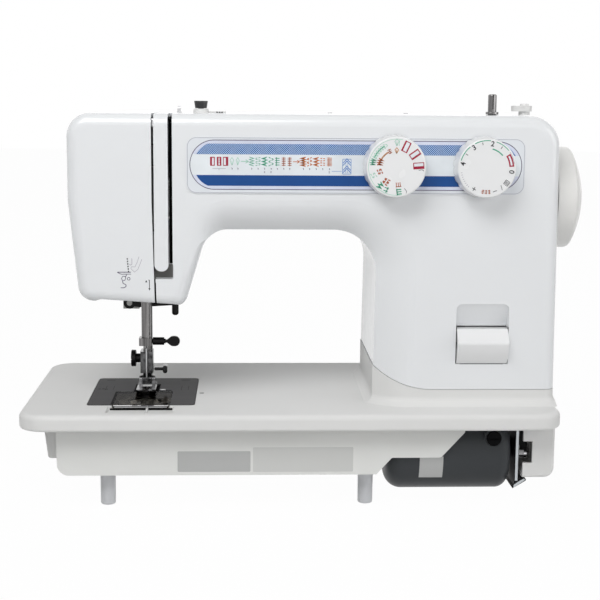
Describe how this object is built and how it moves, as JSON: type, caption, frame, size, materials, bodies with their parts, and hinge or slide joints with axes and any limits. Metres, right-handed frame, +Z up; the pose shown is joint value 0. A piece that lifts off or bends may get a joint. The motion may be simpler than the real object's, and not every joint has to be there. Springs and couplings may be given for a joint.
{
  "type": "sewing machine",
  "caption": "Flat-bed household sewing machine with arm, head, needle and presser foot, hand wheel, stitch dials, reverse lever and a motor hung under the bed.",
  "frame": {"origin": "centre of the footprint on the table, under the pegs' feet", "axes": "+X to the operator's right along the bed, +Y away from the operator, +Z up"},
  "size_m": [0.393, 0.178, 0.2846],
  "materials": {
    "cover_white": "glossy moulded shell",
    "face_white": "glossy moulded shell",
    "bed_white": "smooth satin enamel",
    "pan_grey": "matt moulded tray",
    "frame_cast": "as cast",
    "shaft_steel": "ground",
    "chrome_trim": "polished",
    "plate_steel": "brushed",
    "dark_steel": "blued",
    "clear_cover": "clear moulding",
    "bobbin_clear": "clear moulding",
    "hook_black": "matt",
    "belt_rubber": "ribbed",
    "motor_grey": "satin grey enamel",
    "black_plastic": "glossy black",
    "cap_brown": "phenolic",
    "panel_print": "printed panel",
    "dial_white": "printed dial",
    "lever_white": "glossy",
    "cream_plastic": "satin",
    "lamp_glass": "frosted",
    "peg_white": "satin"
  },
  "bodies": {
    "machine": {"bed": "bed_white", "bottom_pan": "pan_grey", "front_cover": "cover_white", "rear_cover": "cover_white", "face_hinge_pin": "shaft_steel", "channel_plate": "cover_white", "cover_screws": "chrome_trim", "arm_frame": "frame_cast", "lamp": "lamp_glass", "drive_belt": "belt_rubber", "timing_belt": "belt_rubber", "hook_bearing": "frame_cast", "bobbin_holder": "hook_black", "needle_plate": "plate_steel", "plate_screws": "shaft_steel", "front_panel": "panel_print", "winder_stopper": "cream_plastic", "knob_base": "cream_plastic", "thread_guide": "chrome_trim", "motor_body": "motor_grey", "brush_cap": "cap_brown", "motor_strap": "motor_grey", "strap_nut": "chrome_trim", "lower_cover": "cream_plastic", "inlet_socket": "black_plastic", "pegs": "peg_white"},
    "face_door": {"face_cover": "face_white"},
    "needle_slide": {"needle_bar": "chrome_trim", "connecting_rod": "shaft_steel", "needle_clamp": "chrome_trim", "needle": "chrome_trim"},
    "needle_screw": {"clamp_screw": "dark_steel"},
    "presser": {"presser_bar": "chrome_trim", "foot_holder": "chrome_trim"},
    "thumb_screw": {"foot_screw": "dark_steel"},
    "foot": {"presser_foot": "chrome_trim"},
    "foot_release": {"release_lever": "black_plastic"},
    "lifter": {"presser_lifter": "dark_steel"},
    "take_up": {"take_up_lever": "chrome_trim"},
    "drive_train": {"main_shaft": "shaft_steel", "hand_wheel": "dial_white", "drive_pulley": "frame_cast", "timing_pulley": "frame_cast"},
    "lower_train": {"lower_shaft": "shaft_steel"},
    "hook": {"rotary_hook": "shaft_steel"},
    "rotor": {"motor_rotor": "shaft_steel"},
    "bobbin_body": {"bobbin": "bobbin_clear"},
    "bobbin_cover": {"hook_cover": "clear_cover"},
    "cover_release": {"cover_button": "shaft_steel"},
    "feed": {"feed_dog": "dark_steel"},
    "pattern_dial": {"selector_dial": "dial_white"},
    "stitch_dial": {"length_dial": "dial_white"},
    "reverse": {"reverse_lever": "lever_white"},
    "winder": {"winder_carriage": "frame_cast"},
    "winder_shaft": {"winder_spindle": "chrome_trim", "winder_tyre": "belt_rubber"},
    "tension": {"tension_knob": "black_plastic"},
    "spool_pin_left": {"thread_pin_left": "chrome_trim"},
    "spool_pin_right": {"thread_pin_right": "chrome_trim"}
  },
  "joints": [
    {"name": "face_cover_hinge", "type": "hinge", "parent": "machine", "child": "face_door", "pos_m": [-0.10635, 0.0546, 0.165], "axis": [0, 0, -1], "range_deg": [0, 85]},
    {"name": "needle_bar_slide", "type": "slide", "parent": "machine", "child": "needle_slide", "axis": [0, 0, 1], "range_m": [-0.024, 0.007]},
    {"name": "clamp_screw_turn", "type": "hinge", "parent": "needle_slide", "child": "needle_screw", "pos_m": [-0.11005, -0.0134, 0.1066], "axis": [1, 0, 0], "continuous": true},
    {"name": "presser_bar_slide", "type": "slide", "parent": "machine", "child": "presser", "axis": [0, 0, 1], "range_m": [0, 0.005]},
    {"name": "foot_screw_turn", "type": "hinge", "parent": "presser", "child": "thumb_screw", "pos_m": [-0.12325, 0.003, 0.0908], "axis": [1, 0, 0], "continuous": true},
    {"name": "foot_tilt", "type": "hinge", "parent": "presser", "child": "foot", "pos_m": [-0.11445, -0.005, 0.0762], "axis": [-1, 0, 0], "range_deg": [0, 8]},
    {"name": "foot_release_press", "type": "hinge", "parent": "presser", "child": "foot_release", "pos_m": [-0.10895, 0.005, 0.0824], "axis": [0, 1, 0], "range_deg": [0, 8], "stiffness_Nm_per_rad": 0.02, "springref_deg": -11.46},
    {"name": "lifter_turn", "type": "hinge", "parent": "machine", "child": "lifter", "pos_m": [-0.12805, 0.0104, 0.131], "axis": [0, -1, 0], "range_deg": [0, 20]},
    {"name": "take_up_swing", "type": "hinge", "parent": "machine", "child": "take_up", "pos_m": [-0.10555, 0.009, 0.228], "axis": [1, 0, 0], "range_deg": [0, 40]},
    {"name": "hand_wheel_spin", "type": "hinge", "parent": "machine", "child": "drive_train", "pos_m": [0.17335, -0.013, 0.212], "axis": [1, 0, 0], "continuous": true},
    {"name": "lower_shaft_spin", "type": "hinge", "parent": "machine", "child": "lower_train", "pos_m": [-0.01105, -0.0051, 0.041], "axis": [1, 0, 0], "continuous": true},
    {"name": "hook_spin", "type": "hinge", "parent": "machine", "child": "hook", "pos_m": [-0.11445, -0.0354, 0.05], "axis": [0, 0, 1], "continuous": true},
    {"name": "motor_spin", "type": "hinge", "parent": "machine", "child": "rotor", "pos_m": [0.15445, -0.043, 0.0354], "axis": [1, 0, 0], "continuous": true},
    {"name": "bobbin_spin", "type": "hinge", "parent": "machine", "child": "bobbin_body", "pos_m": [-0.11445, -0.0354, 0.055], "axis": [0, 0, 1], "continuous": true},
    {"name": "hook_cover_slide", "type": "slide", "parent": "machine", "child": "bobbin_cover", "axis": [0, -1, 0], "range_m": [0, 0.018]},
    {"name": "cover_button_press", "type": "slide", "parent": "machine", "child": "cover_release", "axis": [1, 0, 0], "range_m": [0, 0.003], "stiffness_N_per_m": 150, "springref_m": -0.002},
    {"name": "feed_travel", "type": "slide", "parent": "machine", "child": "feed", "axis": [0, 1, 0], "range_m": [-0.002, 0.002]},
    {"name": "selector_dial_turn", "type": "hinge", "parent": "machine", "child": "pattern_dial", "pos_m": [0.05715, -0.061, 0.236], "axis": [0, -1, 0], "continuous": true},
    {"name": "length_dial_turn", "type": "hinge", "parent": "machine", "child": "stitch_dial", "pos_m": [0.11795, -0.061, 0.2356], "axis": [0, -1, 0], "range_deg": [-80, 100]},
    {"name": "reverse_lever_press", "type": "hinge", "parent": "machine", "child": "reverse", "pos_m": [0.12085, -0.029, 0.126], "axis": [1, 0, 0], "range_deg": [0, 12], "stiffness_Nm_per_rad": 0.6, "springref_deg": -14.32},
    {"name": "winder_shift", "type": "slide", "parent": "machine", "child": "winder", "axis": [1, 0, 0], "range_m": [0, 0.0036]},
    {"name": "winder_spindle_spin", "type": "hinge", "parent": "winder", "child": "winder_shaft", "pos_m": [0.13375, -0.004, 0.27], "axis": [0, 0, 1], "continuous": true},
    {"name": "tension_knob_turn", "type": "hinge", "parent": "machine", "child": "tension", "pos_m": [-0.07465, -0.004, 0.2732], "axis": [0, 0, 1], "range_deg": [0, 270]},
    {"name": "spool_pin_left_pull", "type": "slide", "parent": "machine", "child": "spool_pin_left", "axis": [0, 0, 1], "range_m": [0, 0.045]},
    {"name": "spool_pin_right_pull", "type": "slide", "parent": "machine", "child": "spool_pin_right", "axis": [0, 0, 1], "range_m": [0, 0.045]}
  ],
  "couplings": [
    {"joint": "lower_shaft_spin", "follows": "hand_wheel_spin", "ratio": 3},
    {"joint": "hook_spin", "follows": "hand_wheel_spin", "ratio": 2},
    {"joint": "motor_spin", "follows": "hand_wheel_spin", "ratio": 5},
    {"joint": "lifter_turn", "follows": "presser_bar_slide", "rad_per_m": 69.806}
  ]
}
